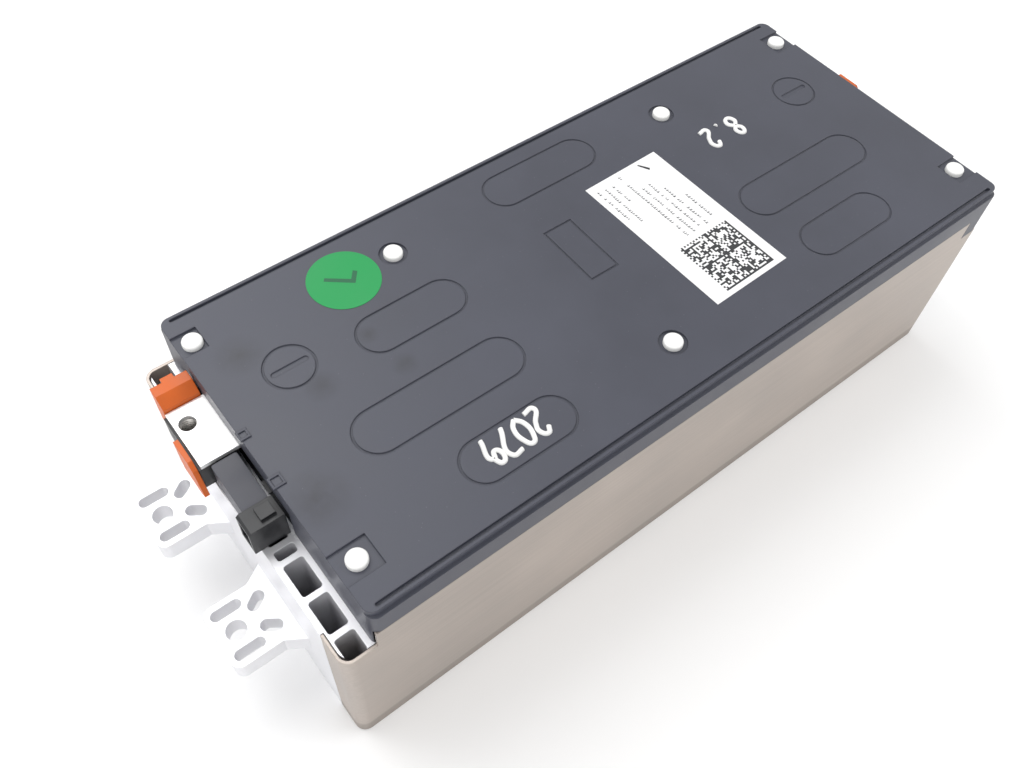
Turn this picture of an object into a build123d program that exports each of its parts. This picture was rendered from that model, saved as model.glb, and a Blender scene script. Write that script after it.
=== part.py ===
"""Prismatic battery module: cells, carrier and busbars clamped between end plates and side sheets.

Millimetres. +X runs along the module, +Y across it and +Z up; the origin is at the bottom
centre. The -X end carries the low-voltage connector, and both ends carry a terminal.
"""
from build123d import *
import os

# --- overall module ---
module_length = 355.0
module_width = 151.0
module_height = 108.5
gap = 0.3  # assembly clearance between neighbouring pieces

# --- side sheets ---
sheet_wall = 1.2
sheet_top = 92.0
sheet_bend_radius = 5.0
sheet_flange = 15.0
sheet_return = 12.0

# --- end plates and their ears ---
plate_depth = 14.0
plate_top = 81.5
plate_wall = 2.6
chamber_depth = 9.6
chamber_radius = 1.2
chamber_widths = [9.5, 14.4, 14.4, 4.2, 14.4, 9.0, 14.4, 4.2, 14.4, 14.4, 9.5]
ear_reach = 28.5
ear_width = 29.0
ear_bottom = 30.0
ear_height = 10.0
ear_corner_radius = 4.0
ear_centre_y = 7.5
ear_spacing = 62.0
ear_bolt_radius = 4.25
ear_bolt_inset = 8.0  # bolt centre to the ear's free end
ear_slot_length = 13.0
ear_slot_width = 4.6
ear_slot_offset = 9.6
ear_root_slot_length = 9.0
ear_root_slot_width = 5.0

# --- cells ---
cell_count = 12
cells_per_group = 3
cell_width = 148.0
cell_thickness = 26.5
cell_height = 88.0
cell_edge_radius = 2.0
cell_spacer = 0.5
terminal_pad = 16.0
terminal_height = 3.0
terminal_y = 36.0
vent_length = 26.0
vent_width = 12.0
vent_depth = 0.6
insulator_wall = 1.2

# --- bottom plate ---
bottom_wall = 1.5

# --- carrier tray, busbars and sense circuit ---
tray_wall = 2.4
tray_rim = 3.0
tray_window_length = 20.0
tray_window_width = 24.0
post_radius = 4.0
pad_radius = 4.5
busbar_wall = 2.0
busbar_width = 20.0
tab_width = 28.0
tab_centre_y = 28.0
tab_reach = 16.8  # from the end plate's inner face to the tab's free end
sense_wall = 0.8
sense_width = 24.0

# --- terminal seat and guards ---
thread_radius = 3.4
insert_radius = 4.4
insert_height = 9.0
hole_y = 33.5
hole_inset = 5.0  # from the tab's free end
seat_overhang = 1.0  # how far the seat stands out past the tab's free end
far_tab_shift = 4.5  # extra reach of the far tab, so that its hole is clear of the cover
guard_width = 9.0
guard_rise = 6.0
guard_wall = 1.8
lip_wall = 2.0
lip_width = 18.0
lip_rise = 2.0

# --- low-voltage connector ---
connector_width = 9.6
connector_centre_y = -16.0
connector_reach = 2.5
connector_wall = 1.4
connector_height = 15.0
socket_depth = 9.0
pin_radius = 0.4
pin_pitch = 2.2
shroud_width = 23.4
shroud_wall = 1.5
shroud_height = 14.0

# --- top cover ---
cover_near_x = -164.5
cover_far_x = 175.5
cover_wall = 2.5
cover_ledge = 1.3
cover_ledge_drop = 3.0
cover_skirt_wall = 1.6
cover_corner_radius = 4.0
groove_width = 1.5
groove_depth = 1.3
groove_inset = 1.3
opening_low_y = -22.0
opening_high_y = 55.5
near_opening_top = 96.8
far_opening_top = 103.4
emboss_line = 0.9
emboss_depth = 0.5

# --- rivets ---
rivet_head_radius = 4.1
rivet_head_height = 1.5
rivet_shank_radius = 2.0
rivet_shank_length = 8.0
pocket_depth = 1.0
recess_radius = 6.0

# --- label and sticker ---
print_wall = 0.15
label_size = (42.0, 81.0)
label_centre = (41.0, -6.8)
sticker_radius = 15.3
sticker_centre = (-94.5, 51.0)

half_length = module_length / 2
half_width = module_width / 2
plate_inner = half_length - plate_depth
cover_top = module_height - rivet_head_height
cover_base = cover_top - cover_wall
bottom_top = sheet_wall + gap + bottom_wall
cell_base = bottom_top + gap
cell_top = cell_base + cell_height
tray_base = cell_top + gap
tray_top = tray_base + tray_wall
busbar_base = cell_top + terminal_height
busbar_top = busbar_base + busbar_wall
cell_pitch = cell_thickness + cell_spacer
tray_half_length = plate_inner - 2 * gap - insulator_wall
tray_half_width = half_width - cover_skirt_wall - cover_ledge - gap
tab_end = plate_inner + tab_reach
seat_base = plate_top + gap

rivet_spots = [(-158, 58), (-156.5, -55), (-70.3, 51.5), (81.8, 51.5), (-7, -51), (168, 58), (168, -55)]
recess_spots = rivet_spots[2:5]
emboss_slots = [
    (-82.5, 20, 50, 20),
    (-95.0, -17, 76, 21),
    (-83.5, -50, 51, 20),
    (10.0, 54, 60, 20),
    (108.0, -16, 76, 21),
    (100.0, -48, 51, 20),
]
emboss_circles = [(-134.0, 26.5), (147.0, 26.5)]
emboss_circle_radius = 10.6

os.makedirs("parts", exist_ok=True)


def save(part, name):
    """Label one finished piece and write it as its own STEP file."""
    part.label = name
    export_step(part, f"parts/{name}.step")


def save_mirrored(part, name, shift=0.0):
    """Write the piece mirrored to the other end of the module, moved outwards by the shift."""
    save(Pos(shift, 0, 0) * mirror(part, about=Plane.YZ), name)


# --- side sheets: folded C in plan, with a return flange under the bottom plate ---
for side, sheet_name in ((1, "side_sheet_left"), (-1, "side_sheet_right")):
    with BuildPart() as side_sheet:
        with BuildSketch():
            with BuildLine():
                fold = FilletPolyline(
                    (-half_length, side * (half_width - sheet_flange)),
                    (-half_length, side * half_width),
                    (half_length, side * half_width),
                    (half_length, side * (half_width - sheet_flange)),
                    radius=sheet_bend_radius,
                )
                offset(fold, amount=sheet_wall, side=Side.RIGHT if side > 0 else Side.LEFT)
            make_face()
        extrude(amount=sheet_top)
        # the top edge steps down at both ends to clear the end plates' level
        with BuildSketch(Plane.XY.offset(plate_top)):
            with Locations((-half_length, side * half_width), (half_length, side * half_width)):
                Rectangle(2 * plate_depth, 2 * sheet_flange + 2)
        extrude(amount=sheet_top - plate_top, mode=Mode.SUBTRACT)
        # return flange under the bottom plate
        with BuildSketch():
            with Locations((0, side * (half_width - (sheet_wall + sheet_return) / 2))):
                Rectangle(2 * (plate_inner - gap), sheet_return + sheet_wall)
        extrude(amount=sheet_wall)
        bottom_edges = side_sheet.edges().filter_by(Axis.X).group_by(Axis.Z)[0]
        fillet(bottom_edges.sort_by(Axis.Y)[-1 if side > 0 else 0], radius=sheet_wall * 0.8)
    save(side_sheet.part, sheet_name)

# --- bottom plate: sits on the two return flanges and fills between them ---
with BuildPart() as bottom_plate:
    with BuildSketch(Plane.XY.offset(sheet_wall + gap)):
        Rectangle(2 * (plate_inner - gap), 2 * (half_width - sheet_wall - gap))
    extrude(amount=bottom_wall)
    with BuildSketch():
        Rectangle(2 * (plate_inner - gap), 2 * (half_width - sheet_wall - sheet_return - gap))
    extrude(amount=sheet_wall + gap)
save(bottom_plate.part, "bottom_plate")

# --- end plate: one extrusion, milled back to leave the two ears ---
with BuildPart() as end_plate:
    with BuildSketch():
        with Locations((-(half_length + plate_inner) / 2, 0)):
            Rectangle(plate_depth, 2 * (half_width - sheet_wall - gap))
    extrude(amount=plate_top)
    # recesses that let the sheets' end flanges sit flush
    with BuildSketch():
        with Locations((-half_length, half_width), (-half_length, -half_width)):
            Rectangle(2 * (sheet_wall + gap), 2 * (sheet_flange + gap))
    extrude(amount=plate_top, mode=Mode.SUBTRACT)
    wrapped_face = -half_length + sheet_wall + gap
    wrapped_edges = end_plate.edges().filter_by(Axis.Z).filter_by_position(
        Axis.X, wrapped_face - 0.1, wrapped_face + 0.1)
    fillet(wrapped_edges.group_by(Axis.Y)[0] + wrapped_edges.group_by(Axis.Y)[-1], radius=sheet_bend_radius)
    # through chambers
    with BuildSketch():
        chamber_start = -(sum(chamber_widths) + plate_wall * (len(chamber_widths) - 1)) / 2
        for width in chamber_widths:
            with Locations((-plate_inner - plate_wall - chamber_depth / 2, chamber_start + width / 2)):
                RectangleRounded(chamber_depth - 1.4, width, chamber_radius)
            chamber_start += width + plate_wall
    extrude(amount=plate_top, mode=Mode.SUBTRACT)
    # ears with bolt bores, ribs and lightening slots
    ear_spots = [ear_centre_y - ear_spacing / 2, ear_centre_y + ear_spacing / 2]
    with BuildSketch(Plane.XY.offset(ear_bottom)):
        for y in ear_spots:
            with Locations((-half_length - ear_reach / 2 + plate_wall / 2, y)):
                Rectangle(ear_reach + plate_wall, ear_width)
            with BuildLine():
                # ribs that widen the ear's root
                Polyline(
                    (-half_length, y - ear_width / 2 - 5),
                    (-half_length - 8, y - ear_width / 2),
                    (-half_length - 8, y + ear_width / 2),
                    (-half_length, y + ear_width / 2 + 5),
                    close=True,
                )
            make_face()
    extrude(amount=ear_height)
    ear_edges = end_plate.edges().filter_by(Axis.Z).filter_by_position(
        Axis.X, -half_length - ear_reach - 0.1, -half_length - ear_reach + 0.1)
    fillet(ear_edges, radius=ear_corner_radius)
    bolt_x = -half_length - ear_reach + ear_bolt_inset
    with BuildSketch(Plane.XY.offset(ear_bottom)):
        for y in ear_spots:
            with Locations((bolt_x, y)):
                Circle(ear_bolt_radius)
            with Locations((bolt_x + 0.6, y - ear_slot_offset), (bolt_x + 0.6, y + ear_slot_offset)):
                SlotOverall(ear_slot_length, ear_slot_width)
            with Locations((bolt_x + 12, y - 6.2)):
                SlotOverall(ear_root_slot_length, ear_root_slot_width, rotation=-35)
            with Locations((bolt_x + 12, y + 6.2)):
                SlotOverall(ear_root_slot_length, ear_root_slot_width, rotation=35)
    extrude(amount=ear_height, mode=Mode.SUBTRACT)
save(end_plate.part, "end_plate_front")
save_mirrored(end_plate.part, "end_plate_rear")

# --- end insulators between the end plates and the outer cells ---
with BuildPart() as end_insulator:
    with BuildSketch(Plane.XY.offset(cell_base)):
        with Locations((-plate_inner + gap + insulator_wall / 2, 0)):
            Rectangle(insulator_wall, cell_width)
    extrude(amount=plate_top - cell_base)
save(end_insulator.part, "end_insulator_front")
save_mirrored(end_insulator.part, "end_insulator_rear")

# --- cells: closed cans with two terminal pads and a vent ---
for index in range(cell_count):
    cell_x = (index - (cell_count - 1) / 2) * cell_pitch
    with BuildPart() as cell:
        with BuildSketch(Plane.XY.offset(cell_base)):
            with Locations((cell_x, 0)):
                RectangleRounded(cell_thickness, cell_width, cell_edge_radius)
        extrude(amount=cell_height)
        with BuildSketch(Plane.XY.offset(cell_top)):
            with Locations((cell_x, -terminal_y), (cell_x, terminal_y)):
                Rectangle(terminal_pad, terminal_pad)
        extrude(amount=terminal_height)
        with BuildSketch(Plane.XY.offset(cell_top)):
            with Locations((cell_x, 0)):
                SlotOverall(vent_length, vent_width, rotation=90)
        extrude(amount=-vent_depth, mode=Mode.SUBTRACT)
    save(cell.part, f"cell_{index + 1:02d}")

# --- compression spacers between the cells ---
for index in range(cell_count - 1):
    spacer_x = (index - (cell_count - 2) / 2) * cell_pitch
    with BuildPart() as spacer:
        with BuildSketch(Plane.XY.offset(cell_base)):
            with Locations((spacer_x, 0)):
                Rectangle(cell_spacer, cell_width - 2 * cell_edge_radius)
        extrude(amount=cell_height - 2 * cell_edge_radius)
    save(spacer.part, f"cell_spacer_{index + 1:02d}")

# --- carrier tray: windows over the terminals, posts under the rivets ---
with BuildPart() as carrier_tray:
    with BuildSketch(Plane.XY.offset(tray_base)):
        Rectangle(2 * tray_half_length, 2 * tray_half_width)
        for x, y in rivet_spots:
            # end rivets stand on tongues that reach out from the tray
            with Locations((x, y)):
                Circle(pad_radius)
            if abs(x) > tray_half_length:
                with Locations((tray_half_length + (abs(x) - tray_half_length) / 2 - 1, y)):
                    Rectangle(abs(x) - tray_half_length + 2, 2 * pad_radius)
        with GridLocations(cell_pitch, 2 * terminal_y, cell_count, 2):
            Rectangle(tray_window_length, tray_window_width, mode=Mode.SUBTRACT)
    extrude(amount=tray_wall)
    with BuildSketch(Plane.XY.offset(tray_top)):
        with GridLocations(0, 2 * tray_half_width - 2, 1, 2):
            Rectangle(2 * tray_half_length - 30, 2)
    extrude(amount=tray_rim)
    with BuildSketch(Plane.XY.offset(tray_top)):
        with Locations(*rivet_spots):
            Circle(post_radius)
    extrude(amount=cover_base - pocket_depth - gap - tray_top)
    with BuildSketch(Plane.XY.offset(tray_base)):
        with Locations(*rivet_spots):
            Circle(rivet_shank_radius + gap / 2)
    extrude(amount=cover_base - tray_base, mode=Mode.SUBTRACT)
save(carrier_tray.part, "carrier_tray")

# --- busbars between the groups of cells, alternating from side to side ---
group_length = cells_per_group * cell_pitch
for index in range(cell_count // cells_per_group - 1):
    link_x = (index - (cell_count // cells_per_group - 2) / 2) * group_length
    link_y = terminal_y if index % 2 else -terminal_y
    with BuildPart() as link_busbar:
        with BuildSketch(Plane.XY.offset(busbar_base)):
            with Locations((link_x, link_y)):
                RectangleRounded(2 * group_length - cell_pitch + terminal_pad, busbar_width, 2)
        extrude(amount=busbar_wall)
    save(link_busbar.part, f"link_busbar_{index + 1}")

# --- terminal busbars: end group to the tapped tab over the end plate ---
bar_start = -(cell_count / 2 - cells_per_group) * cell_pitch - (cell_pitch - terminal_pad) / 2
for end_name, bar_end in (("front", tab_end), ("rear", tab_end + far_tab_shift)):
    with BuildPart() as terminal_busbar:
        with BuildSketch(Plane.XY.offset(busbar_base)):
            with Locations(((bar_start - tray_half_length) / 2, terminal_y)):
                Rectangle(bar_start + tray_half_length, busbar_width)
            with Locations((-(bar_end + tray_half_length - 8) / 2, tab_centre_y)):
                Rectangle(bar_end - tray_half_length + 8, tab_width)
            with Locations((-bar_end + hole_inset, hole_y)):
                Circle(thread_radius, mode=Mode.SUBTRACT)
        extrude(amount=busbar_wall)
    if end_name == "front":
        save(terminal_busbar.part, "terminal_busbar_front")
    else:
        save_mirrored(terminal_busbar.part, "terminal_busbar_rear")

# --- terminal seat: moulded block on the end plate that holds the threaded insert ---
seat_low = tab_centre_y - tab_width / 2
seat_high = tab_centre_y + tab_width / 2
seat_near = -plate_inner - 1.8
seat_end = tab_end + seat_overhang
with BuildPart() as terminal_seat:
    with BuildSketch(Plane.XY.offset(seat_base)):
        with Locations((-(seat_end - seat_near) / 2, tab_centre_y)):
            Rectangle(seat_end + seat_near, tab_width)
    extrude(amount=busbar_base - seat_base)
    with BuildSketch(Plane.XY.offset(busbar_base)):
        with Locations((-tab_end + hole_inset, hole_y)):
            Circle(insert_radius + gap)
    extrude(amount=-insert_height - gap, mode=Mode.SUBTRACT)
save(terminal_seat.part, "terminal_seat_front")
save_mirrored(terminal_seat.part, "terminal_seat_rear", far_tab_shift)

with BuildPart() as terminal_insert:
    with BuildSketch(Plane.XY.offset(busbar_base)):
        with Locations((-tab_end + hole_inset, hole_y)):
            Circle(insert_radius)
            Circle(thread_radius, mode=Mode.SUBTRACT)
    extrude(amount=-insert_height)
save(terminal_insert.part, "terminal_insert_front")
save_mirrored(terminal_insert.part, "terminal_insert_rear", far_tab_shift)

# --- guards: a cap beside the tab and a lip in front of it ---
guard_low = seat_high + gap
with BuildPart() as guard_cap:
    with BuildSketch(Plane.XY.offset(seat_base)):
        with Locations((-(tab_end - seat_near) / 2, guard_low + guard_width / 2)):
            Rectangle(tab_end + seat_near, guard_width)
        with Locations((-(tab_end - seat_near) / 2, guard_low + guard_width + 1)):
            Rectangle(5, 2)
    extrude(amount=busbar_top + guard_rise - seat_base)
    chamfer(guard_cap.faces().sort_by(Axis.Z)[-1].edges().sort_by(Axis.Y)[0], length=guard_rise * 0.7)
    with BuildSketch(Plane.XY.offset(seat_base)):
        with Locations((-(tab_end - seat_near) / 2, guard_low + guard_width / 2)):
            Rectangle(tab_end + seat_near - 2 * guard_wall, guard_width - 2 * guard_wall)
    extrude(amount=busbar_top - seat_base - guard_wall, mode=Mode.SUBTRACT)
save(guard_cap.part, "guard_cap_front")
save_mirrored(guard_cap.part, "guard_cap_rear")

with BuildPart() as guard_lip:
    with BuildSketch(Plane.YZ.offset(-seat_end - gap)):
        with BuildLine():
            Polyline(
                (seat_low - 4, plate_top + 1),
                (seat_low, busbar_top - 1),
                (seat_low + 3, busbar_top + lip_rise),
                (seat_low + lip_width - 4, busbar_top + lip_rise),
                (seat_low + lip_width - 4, plate_top - 2),
                (seat_low, plate_top - 2),
                close=True,
            )
        make_face()
    extrude(amount=-lip_wall)
save(guard_lip.part, "guard_lip_front")
save_mirrored(guard_lip.part, "guard_lip_rear", far_tab_shift)

# --- sense circuit on the tray's middle, with its tail to the connector ---
sense_tail = 8.0
with BuildPart() as sense_circuit:
    with BuildSketch(Plane.XY.offset(tray_top)):
        Rectangle(2 * tray_half_length - 6, sense_width)
        with Locations((-tray_half_length, connector_centre_y + connector_width)):
            Rectangle(sense_tail, 6)
    extrude(amount=sense_wall)
save(sense_circuit.part, "sense_circuit")

# --- connector housing with its socket open towards the end ---
connector_outer = half_length + connector_reach
connector_inner = plate_inner + 2.0
connector_middle = -(connector_outer + connector_inner) / 2
with BuildPart() as connector_housing:
    with BuildSketch(Plane.XY.offset(seat_base)):
        with Locations((connector_middle, connector_centre_y)):
            Rectangle(connector_outer - connector_inner, connector_width)
    extrude(amount=connector_height)
    chamfer(connector_housing.faces().sort_by(Axis.Z)[-1].edges().sort_by(Axis.X)[0], length=1)
    with BuildSketch(Plane.YZ.offset(-connector_outer)):
        with Locations((connector_centre_y, seat_base + connector_height / 2)):
            Rectangle(connector_width - 2 * connector_wall, connector_height - 2 * connector_wall - 2)
    extrude(amount=socket_depth, mode=Mode.SUBTRACT)
    # latch catch on top
    with BuildSketch(Plane.XY.offset(seat_base + connector_height)):
        with Locations((connector_middle + 2, connector_centre_y)):
            Rectangle(6, connector_width - 4)
    extrude(amount=1.5)
save(connector_housing.part, "connector_housing")

with BuildPart() as connector_pins:
    pin_plane = Plane.YZ.offset(-connector_outer + socket_depth)
    with BuildSketch(pin_plane):
        with Locations((connector_centre_y, seat_base + connector_height / 2)):
            with GridLocations(pin_pitch, pin_pitch, 2, 4):
                Circle(pin_radius)
    extrude(amount=-socket_depth + 3)
save(connector_pins.part, "connector_pins")

# --- shroud: flat cap over the sense circuit's tail between tab and connector ---
shroud_centre_y = connector_centre_y + (connector_width + shroud_width) / 2 + gap
with BuildPart() as sense_shroud:
    with BuildSketch(Plane.XY.offset(seat_base)):
        with Locations((-(half_length + plate_inner) / 2 - 1.4, shroud_centre_y)):
            RectangleRounded(10.5, shroud_width, 1)
    extrude(amount=shroud_height)
    shroud_bottom = sense_shroud.faces().sort_by(Axis.Z)[0]
    offset(amount=-shroud_wall, openings=shroud_bottom)
save(sense_shroud.part, "sense_shroud")

# --- top cover: moulded shell with ledge, edge groove, embossed outlines and rivet pockets ---
cover_length = cover_far_x - cover_near_x
cover_centre_x = (cover_far_x + cover_near_x) / 2
cover_ledge_top = cover_top - cover_ledge_drop
wall_base = plate_top + gap
with BuildPart() as top_cover:
    # skirt and ledge
    with BuildSketch(Plane.XY.offset(wall_base)):
        with Locations((cover_centre_x, 0)):
            RectangleRounded(cover_length, module_width, cover_corner_radius)
    extrude(amount=cover_ledge_top - wall_base)
    # crown
    with BuildSketch(Plane.XY.offset(cover_ledge_top)):
        with Locations((cover_centre_x, 0)):
            RectangleRounded(cover_length, module_width - 2 * cover_ledge, cover_corner_radius)
    extrude(amount=cover_ledge_drop)
    # hollow
    with BuildSketch(Plane.XY.offset(wall_base)):
        with Locations((cover_centre_x, 0)):
            Rectangle(cover_length - 2 * cover_skirt_wall, module_width - 2 * cover_skirt_wall - 2 * cover_ledge)
    extrude(amount=cover_base - wall_base, mode=Mode.SUBTRACT)
    # long skirts end just above the side sheets
    with BuildSketch(Plane.XY.offset(wall_base)):
        with Locations((0, half_width), (0, -half_width)):
            Rectangle(2 * (half_length - plate_depth) + 2 * gap, 2 * (cover_skirt_wall + cover_ledge) + 1)
    extrude(amount=sheet_top + gap - wall_base, mode=Mode.SUBTRACT)
    # end openings for the tabs, the guards and the connector
    opening_width = opening_high_y - opening_low_y
    with BuildSketch(Plane.XY.offset(wall_base)):
        with Locations((cover_near_x, (opening_high_y + opening_low_y) / 2)):
            Rectangle(4 * cover_skirt_wall, opening_width)
    extrude(amount=near_opening_top - wall_base, mode=Mode.SUBTRACT)
    with BuildSketch(Plane.XY.offset(wall_base)):
        with Locations((cover_far_x, (opening_high_y + seat_low - 5) / 2)):
            Rectangle(4 * cover_skirt_wall, opening_high_y - seat_low + 5)
    extrude(amount=far_opening_top - wall_base, mode=Mode.SUBTRACT)
    # grooves along the long edges
    groove_y = half_width - cover_ledge - groove_inset - groove_width / 2
    with BuildSketch(Plane.XY.offset(cover_top)):
        with Locations((cover_centre_x, groove_y), (cover_centre_x, -groove_y)):
            SlotOverall(cover_length - 8, groove_width)
    extrude(amount=-groove_depth, mode=Mode.SUBTRACT)
    # embossed outlines
    with BuildSketch(Plane.XY.offset(cover_top)):
        for x, y, length, width in emboss_slots:
            with Locations((x, y)):
                SlotOverall(length, width)
                SlotOverall(length - 2 * emboss_line, width - 2 * emboss_line, mode=Mode.SUBTRACT)
        for x, y in emboss_circles:
            with Locations((x, y)):
                Circle(emboss_circle_radius)
                Circle(emboss_circle_radius - emboss_line, mode=Mode.SUBTRACT)
                SlotOverall(16, 2.4)
        with Locations((-5, 8)):
            Rectangle(15, 32)
            Rectangle(15 - 2 * emboss_line, 32 - 2 * emboss_line, mode=Mode.SUBTRACT)
    extrude(amount=-emboss_depth, mode=Mode.SUBTRACT)
    # pockets and recesses round the rivet heads
    with BuildSketch(Plane.XY.offset(cover_top)):
        with Locations(*recess_spots):
            Circle(recess_radius)
        with Locations((-159.2, 58.5)):
            Rectangle(11, 11.5)
        with Locations((-157, -55)):
            Rectangle(15.5, 13.5)
        with Locations((169.5, 58), (169.5, -55.5)):
            Rectangle(13, 13)
    extrude(amount=-pocket_depth, mode=Mode.SUBTRACT)
    with BuildSketch(Plane.XY.offset(cover_base)):
        with Locations(*rivet_spots):
            Circle(rivet_shank_radius + gap)
    extrude(amount=cover_wall, mode=Mode.SUBTRACT)
save(top_cover.part, "top_cover")

# --- rivets: mushroom heads on plain shanks, all alike ---
rivet_seat = cover_top - pocket_depth
with BuildPart() as cover_rivets:
    with Locations(*[(x, y, rivet_seat) for x, y in rivet_spots]):
        Cylinder(rivet_shank_radius, rivet_shank_length, align=(Align.CENTER, Align.CENTER, Align.MAX))
        Cylinder(rivet_head_radius, module_height - rivet_seat,
                 align=(Align.CENTER, Align.CENTER, Align.MIN))
    head_edges = cover_rivets.edges().filter_by(GeomType.CIRCLE).group_by(Axis.Z)[-1]
    fillet(head_edges, radius=1.0)
save(cover_rivets.part, "cover_rivets")

# --- label and round sticker ---
with BuildPart() as rating_label:
    with BuildSketch(Plane.XY.offset(cover_top)):
        with Locations(label_centre):
            Rectangle(*label_size, rotation=1.5)
    extrude(amount=print_wall)
save(rating_label.part, "rating_label")

with BuildPart() as check_sticker:
    with BuildSketch(Plane.XY.offset(cover_top)):
        with Locations(sticker_centre):
            Circle(sticker_radius)
    extrude(amount=print_wall)
save(check_sticker.part, "check_sticker")
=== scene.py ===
"""Looks of the prismatic battery module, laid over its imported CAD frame. Metres, +Z up."""
import bpy
import bmesh
import math
import random
from mathutils import Matrix, Vector


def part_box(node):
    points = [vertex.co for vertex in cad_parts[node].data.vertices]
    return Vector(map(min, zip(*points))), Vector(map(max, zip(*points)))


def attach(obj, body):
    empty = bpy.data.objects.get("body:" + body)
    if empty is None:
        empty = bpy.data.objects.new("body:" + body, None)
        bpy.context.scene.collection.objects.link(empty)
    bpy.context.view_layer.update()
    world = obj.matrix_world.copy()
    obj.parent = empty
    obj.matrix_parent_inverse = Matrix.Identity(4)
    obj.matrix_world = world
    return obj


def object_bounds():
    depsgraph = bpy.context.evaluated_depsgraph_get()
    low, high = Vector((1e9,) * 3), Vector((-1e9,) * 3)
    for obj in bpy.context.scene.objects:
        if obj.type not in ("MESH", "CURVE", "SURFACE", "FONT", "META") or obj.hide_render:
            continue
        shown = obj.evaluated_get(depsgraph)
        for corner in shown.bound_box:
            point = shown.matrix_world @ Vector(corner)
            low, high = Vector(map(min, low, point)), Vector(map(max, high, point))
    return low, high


bl_info = {
    "name": "Battery Module Looks",
    "version": (1, 0, 0),
    "blender": (4, 5, 0),
    "location": "3D View > Sidebar > Battery Module",
    "description": "Finishes, print, threads and stage for a prismatic battery module",
    "category": "Object",
}

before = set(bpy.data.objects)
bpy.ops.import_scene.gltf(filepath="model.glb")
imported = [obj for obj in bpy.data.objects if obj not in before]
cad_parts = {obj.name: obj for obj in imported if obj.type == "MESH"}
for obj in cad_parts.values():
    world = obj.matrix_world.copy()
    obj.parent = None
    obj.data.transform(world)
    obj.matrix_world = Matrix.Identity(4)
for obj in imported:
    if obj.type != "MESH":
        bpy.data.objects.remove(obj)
cad_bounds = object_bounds()
BODY = "root"
MM = 0.001
PRINT_HEIGHT = 0.02 * MM  # how far ink stands above its film
COVER_LOW, COVER_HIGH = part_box("top_cover")
COVER_TOP = COVER_HIGH[2]
LABEL_LOW, LABEL_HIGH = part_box("rating_label")
STICKER_LOW, STICKER_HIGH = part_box("check_sticker")
TAB_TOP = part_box("terminal_busbar_front")[1][2]


# ---------------------------------------------------------------- settings

class CoverSettings(bpy.types.PropertyGroup):
    """Colours and marks of the moulded top cover."""
    colour: bpy.props.StringProperty(
        name="Cover colour", description="Moulded cover plastic, sRGB hex", default="#3F414C")
    grain: bpy.props.FloatProperty(
        name="Grain", description="Size of the mould grain", default=0.0006, unit="LENGTH")
    clip_wall: bpy.props.FloatProperty(
        name="Clip wall", description="Thickness of the small edge clips", default=0.0009, unit="LENGTH")
    rivet_colour: bpy.props.StringProperty(
        name="Rivet colour", description="Natural nylon rivets, sRGB hex", default="#F1F1EF")


class MetalSettings(bpy.types.PropertyGroup):
    """Colours of the metal pieces."""
    sheet_colour: bpy.props.StringProperty(
        name="Sheet colour", description="Zinc-coated side sheets, sRGB hex", default="#B8AEA6")
    plate_colour: bpy.props.StringProperty(
        name="End plate colour", description="Extruded end plates, sRGB hex", default="#E9E9EC")
    busbar_colour: bpy.props.StringProperty(
        name="Busbar colour", description="Bare aluminium tabs, sRGB hex", default="#F3F3F3")
    thread_pitch: bpy.props.FloatProperty(
        name="Thread pitch", description="Pitch of the terminal thread", default=0.00125, unit="LENGTH")
    thread_radius: bpy.props.FloatProperty(
        name="Thread radius", description="Bore radius at the thread's crest", default=0.0034, unit="LENGTH")
    thread_depth: bpy.props.FloatProperty(
        name="Thread depth", description="How far the thread stands into the bore", default=0.0005,
        unit="LENGTH")


class PlasticSettings(bpy.types.PropertyGroup):
    """Colours of the small moulded pieces."""
    guard_colour: bpy.props.StringProperty(
        name="Guard colour", description="High-voltage orange guards, sRGB hex", default="#CC5C0A")
    black_colour: bpy.props.StringProperty(
        name="Black colour", description="Connector and carrier plastic, sRGB hex", default="#1A1B1E")
    shroud_colour: bpy.props.StringProperty(
        name="Shroud colour", description="Shroud beside the connector, sRGB hex", default="#45464E")


class PrintSettings(bpy.types.PropertyGroup):
    """Label, sticker and pen marks."""
    label_colour: bpy.props.StringProperty(
        name="Label colour", description="White label film, sRGB hex", default="#EDEDED")
    ink_colour: bpy.props.StringProperty(
        name="Ink colour", description="Grey printing ink, sRGB hex", default="#8F8F92")
    code_colour: bpy.props.StringProperty(
        name="Code colour", description="Black printing ink, sRGB hex", default="#26272A")
    sticker_colour: bpy.props.StringProperty(
        name="Sticker colour", description="Round green sticker, sRGB hex", default="#009048")
    code_size: bpy.props.FloatProperty(
        name="Code size", description="Side of the square code pattern", default=0.0285, unit="LENGTH")
    code_cells: bpy.props.IntProperty(
        name="Code cells", description="Squares along one side of the code pattern", default=32, min=8)
    pen_width: bpy.props.FloatProperty(
        name="Pen width", description="Width of a paint-pen stroke", default=0.0020, unit="LENGTH")


class StageSettings(bpy.types.PropertyGroup):
    """Floor, lamps and camera."""
    floor_colour: bpy.props.StringProperty(
        name="Floor colour", description="Pale floor, sRGB hex", default="#F6F6F6")
    lamp_power: bpy.props.FloatProperty(
        name="Lamp power", description="Power of the main soft lamp", default=17.0, unit="POWER")
    camera_lens: bpy.props.FloatProperty(
        name="Lens", description="Focal length on a 36 mm sensor", default=34.1, unit="CAMERA")
    camera_place: bpy.props.FloatVectorProperty(
        name="Camera place", description="Where the camera stands", size=3, subtype="XYZ",
        unit="LENGTH", default=(-0.2101, -0.1848, 0.4093))
    camera_turn: bpy.props.FloatVectorProperty(
        name="Camera turn", description="Pitch down, heading from +Y towards +X, and roll",
        size=3, subtype="EULER", unit="ROTATION",
        default=(math.radians(55.38), math.radians(41.87), math.radians(4.81)))


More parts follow.
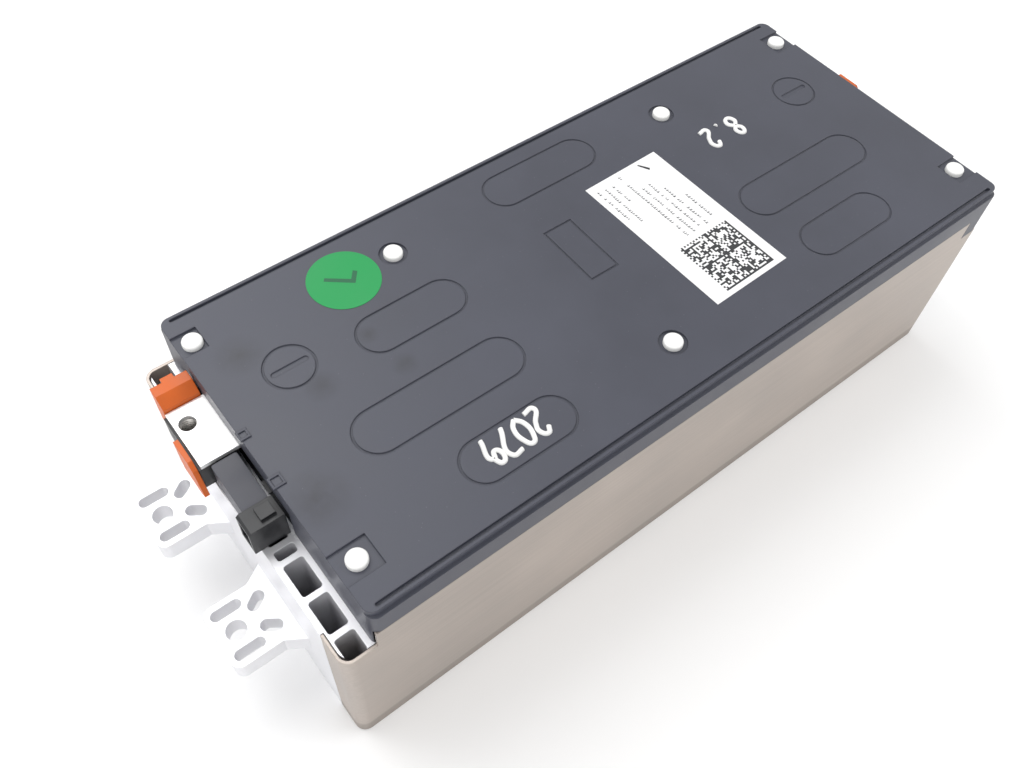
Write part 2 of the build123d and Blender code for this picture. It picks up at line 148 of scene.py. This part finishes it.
SETTINGS = {
    "module_cover": CoverSettings,
    "module_metal": MetalSettings,
    "module_plastic": PlasticSettings,
    "module_print": PrintSettings,
    "module_stage": StageSettings,
}


# ---------------------------------------------------------------- helpers

def linear(colour):
    """sRGB hex to a linear RGBA tuple."""
    values = [int(colour.lstrip("#")[i:i + 2], 16) / 255 for i in (0, 2, 4)]
    return tuple(v / 12.92 if v <= 0.04045 else ((v + 0.055) / 1.055) ** 2.4 for v in values) + (1.0,)


def add_node(tree, kind, settings=None, links=None):
    """Adds one node: settings are attributes or input values, links join its inputs to outputs."""
    made = tree.nodes.new(kind)
    for key, value in (settings or {}).items():
        if isinstance(key, str) and hasattr(made, key):
            setattr(made, key, value)
        else:
            made.inputs[key].default_value = value
    for key, output in (links or {}).items():
        tree.links.new(made.inputs[key], output)
    return made


def new_material(name, colour, metallic, roughness, ior=1.5):
    """A material with a Principled shader; returns it with its tree, shader and object coordinates."""
    material = bpy.data.materials.new(name)
    material.use_nodes = True
    tree = material.node_tree
    shader = tree.nodes["Principled BSDF"]
    shader.inputs["Base Color"].default_value = linear(colour)
    shader.inputs["Metallic"].default_value = metallic
    shader.inputs["Roughness"].default_value = roughness
    if not metallic:
        shader.inputs["IOR"].default_value = ior
    place = add_node(tree, "ShaderNodeTexCoord")
    return material, tree, shader, place.outputs["Object"]


def scaled(tree, place, stretch):
    """Object coordinates times a scale for each axis, in cycles per metre."""
    return add_node(tree, "ShaderNodeMapping", {"Scale": stretch}, {"Vector": place}).outputs["Vector"]


def noise(tree, vector, detail=4.0, rough=0.55):
    """A noise pattern at scale 1 on ready-scaled coordinates."""
    settings = {"Scale": 1.0, "Detail": detail, "Roughness": rough}
    return add_node(tree, "ShaderNodeTexNoise", settings, {"Vector": vector}).outputs["Fac"]


def ramp(tree, value, low, high, at=(0.3, 0.7)):
    """Maps a pattern onto two linear colours between two places."""
    made = add_node(tree, "ShaderNodeValToRGB", links={"Fac": value})
    made.color_ramp.elements[0].position, made.color_ramp.elements[1].position = at
    made.color_ramp.elements[0].color, made.color_ramp.elements[1].color = low, high
    return made.outputs["Color"]


def grey(level):
    """A grey RGBA."""
    return (level, level, level, 1.0)


def shade(colour, factor):
    """A linear colour made darker or lighter."""
    return tuple(min(1.0, v * factor) for v in linear(colour)[:3]) + (1.0,)


def set_roughness(tree, shader, pattern, low, high):
    """Roughness that wanders with a pattern."""
    tree.links.new(shader.inputs["Roughness"], ramp(tree, pattern, grey(low), grey(high)))


def set_bump(tree, shader, pattern, strength, distance, edge=0.0004):
    """Bump from a pattern over slightly rounded edges."""
    soft = add_node(tree, "ShaderNodeBevel", {"samples": 4, "Radius": edge})
    bump = add_node(tree, "ShaderNodeBump", {"Strength": strength, "Distance": distance},
                    {"Height": pattern, "Normal": soft.outputs["Normal"]})
    tree.links.new(shader.inputs["Normal"], bump.outputs["Normal"])


def tinted(tree, colour, tint, factor, blend="MULTIPLY"):
    """A colour output multiplied by a tint, or blended with it another way, as far as a factor says."""
    mixed = add_node(tree, "ShaderNodeMix", {"data_type": "RGBA", "blend_type": blend, 7: tint},
                     {"Factor": factor, 6: colour})
    return mixed.outputs[2]


def finish_nodes(material, *names):
    """Gives CAD nodes a material."""
    for name in names:
        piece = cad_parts[name]
        if piece.material_slots:
            for place in piece.material_slots:
                place.material = material
        else:
            piece.data.materials.append(material)


def named(*starts):
    """CAD node names that start with one of the words."""
    return [n for n in sorted(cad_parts) if n.startswith(starts)]


def mesh_piece(name, build, material):
    """A mesh object made by a bmesh function, riding on the body."""
    shape = bmesh.new()
    build(shape)
    bmesh.ops.recalc_face_normals(shape, faces=shape.faces[:])
    mesh = bpy.data.meshes.new(name)
    shape.to_mesh(mesh)
    shape.free()
    piece = bpy.data.objects.new(name, mesh)
    bpy.context.scene.collection.objects.link(piece)
    mesh.materials.append(material)
    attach(piece, BODY)
    return piece


def add_slab(shape, corners, low, high):
    """A closed slab over a plan outline."""
    base = [shape.verts.new((x, y, low)) for x, y in corners]
    top = [shape.verts.new((x, y, high)) for x, y in corners]
    shape.faces.new(base)
    shape.faces.new(top)
    count = len(corners)
    for i in range(count):
        j = (i + 1) % count
        shape.faces.new((base[i], base[j], top[j], top[i]))


def rectangle(x0, x1, y0, y1):
    """Plan corners of a rectangle."""
    return [(x0, y0), (x1, y0), (x1, y1), (x0, y1)]


# ---------------------------------------------------------------- materials

def moulded_cover_plastic(values):
    """Glass-filled polypropylene from a spark-eroded mould: fine matt grain with a soft sheen,
    rubbed smudges of grease and dust that show where hands and tools touched it."""
    material, tree, shader, place = new_material("moulded_cover_plastic", values.colour, 0.0, 0.42)
    grain = noise(tree, scaled(tree, place, (1 / values.grain,) * 3), 3.0)
    cloud = noise(tree, scaled(tree, place, (14, 14, 14)), 6.0, 0.62)
    tone = ramp(tree, cloud, shade(values.colour, 0.88), shade(values.colour, 1.12))
    # smudges at a few rubbed places, in millimetres across the cover, with their reach
    colour = tone
    for x, y, reach in ((-147, 42, 11), (-129, 12, 8), (-102, 22, 5), (-98, 2, 6), (-155, -28, 14)):
        centre = (x * MM, y * MM, COVER_TOP)
        away = add_node(tree, "ShaderNodeVectorMath", {"operation": "DISTANCE", 1: centre}, {0: place})
        near = add_node(tree, "ShaderNodeMapRange", {"From Min": reach * MM, "From Max": 0.0},
                        {"Value": away.outputs["Value"]})
        patch = noise(tree, scaled(tree, place, (160, 160, 160)), 5.0, 0.6)
        broken = add_node(tree, "ShaderNodeMath", {"operation": "MULTIPLY"},
                          {0: near.outputs["Result"], 1: patch})
        colour = tinted(tree, colour, (0.33, 0.31, 0.29, 1), broken.outputs[0])
    # pale dust specks
    specks = add_node(tree, "ShaderNodeTexVoronoi", {"Scale": 1.0},
                      {"Vector": scaled(tree, place, (260, 260, 260))})
    dust = ramp(tree, specks.outputs["Distance"], grey(1.0), grey(0.0), (0.03, 0.06))
    dust_level = add_node(tree, "ShaderNodeMath", {"operation": "MULTIPLY", 1: 0.05}, {0: dust})
    dusty = tinted(tree, colour, grey(1.0), dust_level.outputs[0], "ADD")
    tree.links.new(shader.inputs["Base Color"], dusty)
    set_roughness(tree, shader, cloud, 0.36, 0.50)
    set_bump(tree, shader, grain, 0.25, 0.00012, 0.0006)
    return material


def zinc_coated_sheet(values):
    """Cold-rolled steel with a warm zinc coating: satin, with fine rolling lines along the
    sheet and cloudy patches in the coating."""
    material, tree, shader, place = new_material("zinc_coated_sheet", values.sheet_colour, 0.75, 0.42)
    lines = noise(tree, scaled(tree, place, (12, 900, 900)), 4.0)
    cloud = noise(tree, scaled(tree, place, (22, 22, 30)), 5.0)
    tone = ramp(tree, cloud, shade(values.sheet_colour, 0.90), shade(values.sheet_colour, 1.06))
    streak = ramp(tree, lines, grey(0.88), grey(1.0))
    mixed = add_node(tree, "ShaderNodeMix", {"data_type": "RGBA", "blend_type": "MULTIPLY", 0: 1.0},
                     {6: tone, 7: streak})
    # painted shade: the base colour is darkened below about 9 mm, over the bottom bend that turns down away
    # from the lamps
    split = add_node(tree, "ShaderNodeSeparateXYZ", links={0: place})
    low = add_node(tree, "ShaderNodeMapRange", {"From Min": 9 * MM, "From Max": 7 * MM, "To Max": 0.45},
                   {"Value": split.outputs["Z"]})
    dark = tinted(tree, mixed.outputs[2], (0.42, 0.40, 0.38, 1), low.outputs["Result"])
    tree.links.new(shader.inputs["Base Color"], dark)
    set_roughness(tree, shader, cloud, 0.38, 0.50)
    set_bump(tree, shader, lines, 0.10, 0.00005, 0.0005)
    return material


def extruded_aluminium(values, name="extruded_aluminium"):
    """6000-series extrusion, sawn and milled: pale, with die lines down its height."""
    material, tree, shader, place = new_material(name, values.plate_colour, 0.55, 0.42)
    die_lines = noise(tree, scaled(tree, place, (1100, 1100, 10)), 3.0)
    cloud = noise(tree, scaled(tree, place, (60, 60, 60)), 4.0)
    tone = ramp(tree, cloud, shade(values.plate_colour, 0.93), shade(values.plate_colour, 1.0))
    tree.links.new(shader.inputs["Base Color"], tone)
    set_roughness(tree, shader, cloud, 0.36, 0.50)
    set_bump(tree, shader, die_lines, 0.12, 0.00006)
    return material


def bare_busbar(values):
    """Soft rolled aluminium: bright and lightly scratched."""
    material, tree, shader, place = new_material("bare_busbar", values.busbar_colour, 0.6, 0.36)
    scratch = noise(tree, scaled(tree, place, (1500, 90, 300)), 4.0)
    tone = ramp(tree, scratch, shade(values.busbar_colour, 0.92), shade(values.busbar_colour, 1.0))
    tree.links.new(shader.inputs["Base Color"], tone)
    set_roughness(tree, shader, scratch, 0.30, 0.44)
    set_bump(tree, shader, scratch, 0.08, 0.00004, 0.0003)
    return material


def plated_steel():
    """Nickel-plated steel: grey and glossy, with fine turned lines."""
    material, tree, shader, place = new_material("plated_steel", "#A9A6A2", 0.95, 0.30)
    lines = noise(tree, scaled(tree, place, (200, 200, 3000)), 3.0)
    set_roughness(tree, shader, lines, 0.24, 0.38)
    set_bump(tree, shader, lines, 0.12, 0.00004, 0.0002)
    return material


def can_aluminium():
    """Deep-drawn cell cans under a thin insulating film: even blue-grey sheen."""
    material, tree, shader, place = new_material("can_aluminium", "#8C99A8", 0.5, 0.35)
    cloud = noise(tree, scaled(tree, place, (80, 80, 80)), 4.0)
    tree.links.new(shader.inputs["Base Color"], ramp(tree, cloud, linear("#7F8C9B"), linear("#96A3B1")))
    set_roughness(tree, shader, cloud, 0.30, 0.42)
    set_bump(tree, shader, cloud, 0.05, 0.0001)
    return material


def moulded_plastic(name, colour, roughness=0.4, grain=0.0005):
    """Injection-moulded PBT or nylon: even colour with a fine grain and faint flow clouds."""
    material, tree, shader, place = new_material(name, colour, 0.0, roughness)
    fine = noise(tree, scaled(tree, place, (1 / grain,) * 3), 3.0)
    cloud = noise(tree, scaled(tree, place, (90, 90, 90)), 4.0)
    tree.links.new(shader.inputs["Base Color"], ramp(tree, cloud, shade(colour, 0.92), shade(colour, 1.05)))
    set_roughness(tree, shader, cloud, roughness - 0.05, roughness + 0.08)
    set_bump(tree, shader, fine, 0.15, 0.00008, 0.0003)
    return material


def printed_film(name, colour, roughness=0.5):
    """Coated label film: flat and even, with a faint paper tooth."""
    material, tree, shader, place = new_material(name, colour, 0.0, roughness)
    tooth = noise(tree, scaled(tree, place, (2500, 2500, 2500)), 2.0)
    cloud = noise(tree, scaled(tree, place, (50, 50, 50)), 3.0)
    tree.links.new(shader.inputs["Base Color"], ramp(tree, cloud, shade(colour, 0.965), shade(colour, 1.0)))
    set_roughness(tree, shader, cloud, roughness - 0.05, roughness + 0.05)
    set_bump(tree, shader, tooth, 0.08, 0.00003, 0.0001)
    return material


# ---------------------------------------------------------------- pieces

class MODULE_OT_metal(bpy.types.Operator):
    """Finish the side sheets, end plates and bottom plate"""
    bl_idname = "battery_module.metal"
    bl_label = "Finish metal pieces"

    def execute(self, context):
        values = context.scene.module_metal
        finish_nodes(zinc_coated_sheet(values), *named("side_sheet"))
        finish_nodes(extruded_aluminium(values), *named("end_plate"))
        finish_nodes(extruded_aluminium(values, "rolled_bottom_plate"), "bottom_plate")
        return {"FINISHED"}


class MODULE_OT_inner(bpy.types.Operator):
    """Finish the cells, spacers, carrier tray, busbars and sense circuit"""
    bl_idname = "battery_module.inner"
    bl_label = "Finish inner pieces"

    def execute(self, context):
        metal, plastic = context.scene.module_metal, context.scene.module_plastic
        cells = [n for n in named("cell_") if "spacer" not in n]
        finish_nodes(can_aluminium(), *cells)
        finish_nodes(moulded_plastic("foam_spacer", "#2A2B2E", 0.8), *named("cell_spacer"))
        finish_nodes(moulded_plastic("carrier_plastic", plastic.black_colour), "carrier_tray",
                     *named("end_insulator"))
        finish_nodes(bare_busbar(metal), *named("link_busbar"))
        finish_nodes(moulded_plastic("circuit_film", "#1C1C1F", 0.35), "sense_circuit")
        return {"FINISHED"}


class MODULE_OT_terminals(bpy.types.Operator):
    """Finish the terminal tabs, seats and guards, and cut the thread in each bore"""
    bl_idname = "battery_module.terminals"
    bl_label = "Finish terminals"

    def execute(self, context):
        metal, plastic = context.scene.module_metal, context.scene.module_plastic
        finish_nodes(bare_busbar(metal), *named("terminal_busbar"))
        finish_nodes(moulded_plastic("seat_plastic", plastic.black_colour), *named("terminal_seat"))
        finish_nodes(moulded_plastic("guard_plastic", plastic.guard_colour, 0.42), *named("guard"))
        steel = plated_steel()
        finish_nodes(steel, *named("terminal_insert"))
        for end in ("front", "rear"):
            low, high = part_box("terminal_insert_" + end)
            hole_x, hole_y = (low[0] + high[0]) / 2, (low[1] + high[1]) / 2
            mesh_piece("terminal_thread_" + end,
                       lambda shape: self.thread(shape, metal, hole_x, hole_y, low[2]),
                       steel)
        return {"FINISHED"}

    def thread(self, shape, metal, x, y, low):
        """One helical ridge up the bore, triangular in section."""
        steps, pitch = 28, metal.thread_pitch
        turns = int((TAB_TOP - low) / pitch) - 1
        rows = []
        for i in range(steps * turns + 1):
            angle, height = 2 * math.pi * i / steps, low + pitch * (i / steps + 0.5)
            row = []
            for reach, rise in ((metal.thread_radius, -0.42), (metal.thread_radius - metal.thread_depth, 0),
                                (metal.thread_radius, 0.42)):
                row.append(shape.verts.new((x + reach * math.cos(angle), y + reach * math.sin(angle),
                                            height + rise * pitch)))
            rows.append(row)
        for lower, upper in zip(rows, rows[1:]):
            for k in range(3):
                shape.faces.new((lower[k], lower[(k + 1) % 3], upper[(k + 1) % 3], upper[k]))
        shape.faces.new(rows[0])
        shape.faces.new(rows[-1])


class MODULE_OT_connector(bpy.types.Operator):
    """Finish the low-voltage connector, its pins and the shroud beside it"""
    bl_idname = "battery_module.connector"
    bl_label = "Finish connector"

    def execute(self, context):
        plastic = context.scene.module_plastic
        finish_nodes(moulded_plastic("connector_plastic", plastic.black_colour, 0.35), "connector_housing")
        finish_nodes(plated_steel(), "connector_pins")
        finish_nodes(moulded_plastic("shroud_plastic", plastic.shroud_colour, 0.45), "sense_shroud")
        return {"FINISHED"}


class MODULE_OT_cover(bpy.types.Operator):
    """Finish the top cover and rivets, and add the small clips along its near edge"""
    bl_idname = "battery_module.cover"
    bl_label = "Finish top cover"

    def execute(self, context):
        values = context.scene.module_cover
        plastic = moulded_cover_plastic(values)
        finish_nodes(plastic, "top_cover")
        finish_nodes(moulded_plastic("nylon_rivet", values.rivet_colour, 0.45), "cover_rivets")
        clip_x, wall = COVER_LOW[0] + 1.6 * MM, values.clip_wall
        for name, centre, reach in (("cover_clip_tab", 10.0, 2.2), ("cover_clip_connector", -13.5, 2.6)):
            mesh_piece(name, lambda shape: self.clip(shape, clip_x, centre * MM, reach * MM, wall),
                       plastic)
        return {"FINISHED"}

    def clip(self, shape, x, y, reach, wall):
        """A square eye with a raised rim."""
        low, high = COVER_TOP - 0.2 * MM, COVER_TOP + wall * 0.6
        outer, inner = reach, reach - wall
        for x0, x1, y0, y1 in ((-outer, outer, inner, outer), (-outer, outer, -outer, -inner),
                               (-outer, -inner, -inner, inner), (inner, outer, -inner, inner)):
            add_slab(shape, rectangle(x + x0, x + x1, y + y0, y + y1), low, high)


class MODULE_OT_label(bpy.types.Operator):
    """Print generic lines and a random square code on the white label"""
    bl_idname = "battery_module.label"
    bl_label = "Print label"

    def execute(self, context):
        values = context.scene.module_print
        finish_nodes(printed_film("label_film", values.label_colour), "rating_label")
        middle = ((LABEL_LOW[0] + LABEL_HIGH[0]) / 2, (LABEL_LOW[1] + LABEL_HIGH[1]) / 2)
        turn = Matrix.Rotation(math.radians(1.5), 2)
        ink = printed_film("grey_ink", values.ink_colour)
        black = printed_film("black_ink", values.code_colour)
        low, high = LABEL_HIGH[2], LABEL_HIGH[2] + PRINT_HEIGHT

        def placed(corners):
            return [tuple(turn @ Vector((x * MM, y * MM)) + Vector(middle)) for x, y in corners]

        def print_lines(shape):
            draw = random.Random(4)
            # each line: place along the module, start and end across it, in mm from the label's centre
            for x, start, end in ((-17, 16, 36), (-13, 12, 36), (-9, 24, 35), (-3, -6, 38), (1, -6, 27),
                                  (5, -6, 27), (9, -6, 21), (14, -6, 12)):
                y = start
                while y < end:
                    mark = draw.uniform(0.6, 1.3)
                    tall = draw.uniform(0.7, 1.1)
                    if draw.random() < 0.85:
                        upright = rectangle(x - tall, x + tall * 0.2, y, y + mark * 0.55)
                        foot = rectangle(x - tall, x - tall * 0.6, y, y + mark)
                        add_slab(shape, placed(upright), low, high)
                        add_slab(shape, placed(foot), low, high)
                    y += mark + 0.35

        def print_code(shape):
            draw = random.Random(11)
            count = values.code_cells
            cell = values.code_size / MM / count
            x0, y0 = -12.5, -38.0
            for i in range(count):
                for j in range(count):
                    border = i == count - 1 or j == 0 or i == count // 2 or j == count // 2
                    dashed = (i == 0 or j == count - 1) and (i + j) % 2 == 0
                    if border or dashed or (0 < i and j < count - 1 and draw.random() < 0.5):
                        add_slab(shape, placed(rectangle(x0 + i * cell, x0 + (i + 1) * cell,
                                                         y0 + j * cell, y0 + (j + 1) * cell)), low, high)

        mesh_piece("label_lines", print_lines, ink)
        mesh_piece("label_code", print_code, black)
        mesh_piece("label_tick", lambda shape: add_slab(
            shape, placed([(8.4, 38.2), (9.2, 38.4), (12.2, 33.8), (11.2, 32.8), (10.2, 34.6)]), low, high),
            black)
        return {"FINISHED"}


class MODULE_OT_sticker(bpy.types.Operator):
    """Finish the round green sticker and print a plain tick on it"""
    bl_idname = "battery_module.sticker"
    bl_label = "Print sticker"

    def execute(self, context):
        values = context.scene.module_print
        finish_nodes(printed_film("sticker_film", values.sticker_colour), "check_sticker")
        x, y = (STICKER_LOW[0] + STICKER_HIGH[0]) / 2, (STICKER_LOW[1] + STICKER_HIGH[1]) / 2
        low, high = STICKER_HIGH[2], STICKER_HIGH[2] + PRINT_HEIGHT
        outline = [(7.0, 0.8), (5.6, 2.2), (2.6, -1.4), (-6.0, 5.2), (-7.2, 3.8), (2.9, -4.2)]
        mesh_piece("sticker_tick", lambda shape: add_slab(
            shape, [(x + u * MM, y + v * MM) for u, v in outline], low, high),
            printed_film("dark_green_ink", "#0B5A38"))
        return {"FINISHED"}


DIGIT_WIDTH = 0.42  # as a share of a digit's height
# plain digits as strokes in a box one unit wide and two high
DIGIT_STROKES = {
    "0": [[(0.5, 0), (0.05, 0.5), (0.05, 1.5), (0.5, 2), (0.95, 1.5), (0.95, 0.5), (0.5, 0)]],
    "2": [[(0.05, 1.6), (0.45, 2), (0.9, 1.6), (0.7, 1.0), (0.05, 0.05), (1, 0.05)]],
    "7": [[(0.05, 1.95), (0.95, 1.95), (0.35, 0)]],
    "8": [[(0.5, 1.05), (0.1, 1.5), (0.5, 2), (0.9, 1.5), (0.5, 1.05), (0.02, 0.5), (0.5, 0), (0.98, 0.5),
           (0.5, 1.05)]],
    "9": [[(0.9, 1.5), (0.5, 2), (0.08, 1.5), (0.45, 1.05), (0.9, 1.5), (0.8, 0)]],
    ".": [[(0.4, 0.05), (0.5, 0.1)]],
}


class MODULE_OT_pen(bpy.types.Operator):
    """Write plain numbers with a white paint pen"""
    bl_idname = "battery_module.pen"
    bl_label = "Write pen marks"

    def execute(self, context):
        values = context.scene.module_print
        paint = moulded_plastic("paint_pen", "#F2F2F0", 0.5, 0.0008)
        # text, its start in mm, the height of a digit, and the step from digit to digit
        for name, text, start, height, step in (("pen_batch", "2079", (-71.0, -42.5), 12.0, 6.9),
                                                ("pen_reading", "8.2", (107.5, 31.0), 11.5, 8.0)):
            curve = bpy.data.curves.new(name, "CURVE")
            curve.dimensions = "3D"
            curve.bevel_depth = values.pen_width / 2
            curve.bevel_resolution = 3
            curve.use_fill_caps = True
            for place, letter in enumerate(text):
                for stroke in DIGIT_STROKES[letter]:
                    spline = curve.splines.new("BEZIER")
                    spline.bezier_points.add(len(stroke) - 1)
                    for point, (u, v) in zip(spline.bezier_points, stroke):
                        point.co = ((start[0] - place * step - u * height * DIGIT_WIDTH) * MM,
                                    (start[1] - v * height / 2) * MM, COVER_TOP)
                        point.handle_left_type = point.handle_right_type = "AUTO"
            piece = bpy.data.objects.new(name, curve)
            bpy.context.scene.collection.objects.link(piece)
            curve.materials.append(paint)
            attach(piece, BODY)
        return {"FINISHED"}


class MODULE_OT_stage(bpy.types.Operator):
    """Lay the pale floor, hang the soft lamps and stand the camera"""
    bl_idname = "battery_module.stage"
    bl_label = "Set the stage"

    def execute(self, context):
        values = context.scene.module_stage
        self.floor(values)
        for name, place, size, power in (("key_lamp", (-0.3, 0.9, 1.5), 1.4, 1.0),
                                         ("fill_lamp", (-1.2, -1.1, 1.1), 1.6, 0.7),
                                         ("end_lamp", (1.3, -0.6, 1.2), 1.2, 0.5)):
            lamp = bpy.data.lights.new(name, "AREA")
            lamp.energy, lamp.size = values.lamp_power * power, size
            holder = bpy.data.objects.new(name, lamp)
            holder.location = place
            aim = Vector((0, 0, 0.05)) - Vector(place)
            holder.rotation_euler = aim.to_track_quat("-Z", "Y").to_euler()
            context.scene.collection.objects.link(holder)
        self.world(context)
        camera = bpy.data.cameras.new("camera")
        camera.lens = values.camera_lens
        camera.clip_start = 0.01
        holder = bpy.data.objects.new("camera", camera)
        pitch, heading, roll = values.camera_turn
        turn = (Matrix.Rotation(-heading, 4, "Z") @ Matrix.Rotation(math.pi / 2 - pitch, 4, "X")
                @ Matrix.Rotation(roll, 4, "Z"))
        holder.matrix_world = Matrix.Translation(Vector(values.camera_place)) @ turn
        context.scene.collection.objects.link(holder)
        context.scene.camera = holder
        context.scene.view_settings.view_transform = "Standard"
        return {"FINISHED"}

    def floor(self, values):
        """A wide pale sheet of paper under the module."""
        mesh = bpy.data.meshes.new("floor")
        reach, low = 6.0, cad_bounds[0][2]
        corners = [(x, y, low) for x, y in rectangle(-reach, reach, -reach, reach)]
        mesh.from_pydata(corners, [], [(0, 1, 2, 3)])
        paper, tree, shader, place = new_material("floor_paper", values.floor_colour, 0.0, 0.9)
        tooth = noise(tree, scaled(tree, place, (400, 400, 400)), 3.0)
        set_bump(tree, shader, tooth, 0.05, 0.0001)
        mesh.materials.append(paper)
        floor = bpy.data.objects.new("floor", mesh)
        bpy.context.scene.collection.objects.link(floor)

    def world(self, context):
        """White to the camera and to reflections, an even soft grey as light."""
        world = bpy.data.worlds.new("studio")
        world.use_nodes = True
        tree = world.node_tree
        back = tree.nodes["Background"]
        back.inputs["Color"].default_value = (1, 1, 1, 1)
        rays = add_node(tree, "ShaderNodeLightPath")
        seen = add_node(tree, "ShaderNodeMath", {"operation": "MAXIMUM"},
                        {0: rays.outputs["Is Camera Ray"], 1: rays.outputs["Is Glossy Ray"]})
        level = add_node(tree, "ShaderNodeMapRange", {"To Min": 0.62, "To Max": 1.0},
                         {"Value": seen.outputs[0]})
        tree.links.new(back.inputs["Strength"], level.outputs["Result"])
        context.scene.world = world


class MODULE_PT_panel(bpy.types.Panel):
    """Sizes, colours and steps of the battery module's looks"""
    bl_label = "Battery Module"
    bl_idname = "MODULE_PT_panel"
    bl_space_type = "VIEW_3D"
    bl_region_type = "UI"
    bl_category = "Battery Module"

    def draw(self, context):
        for group, kind in SETTINGS.items():
            column = self.layout.column(align=True)
            for key in kind.__annotations__:
                column.prop(getattr(context.scene, group), key)
        for operator in OPERATORS:
            self.layout.operator(operator.bl_idname)


OPERATORS = [MODULE_OT_metal, MODULE_OT_inner, MODULE_OT_terminals, MODULE_OT_connector, MODULE_OT_cover,
             MODULE_OT_label, MODULE_OT_sticker, MODULE_OT_pen, MODULE_OT_stage]
CLASSES = [*SETTINGS.values(), *OPERATORS, MODULE_PT_panel]


def register():
    """Registers the classes and hangs the settings on the scene."""
    for kind in CLASSES:
        bpy.utils.register_class(kind)
    for group, kind in SETTINGS.items():
        setattr(bpy.types.Scene, group, bpy.props.PointerProperty(type=kind))


def unregister():
    """Takes the settings and classes away again."""
    for group in SETTINGS:
        delattr(bpy.types.Scene, group)
    for kind in reversed(CLASSES):
        bpy.utils.unregister_class(kind)


def main():
    """Runs every step in order."""
    register()
    for operator in OPERATORS:
        group, step = operator.bl_idname.split(".")
        getattr(getattr(bpy.ops, group), step)()


if __name__ == "__main__":
    main()
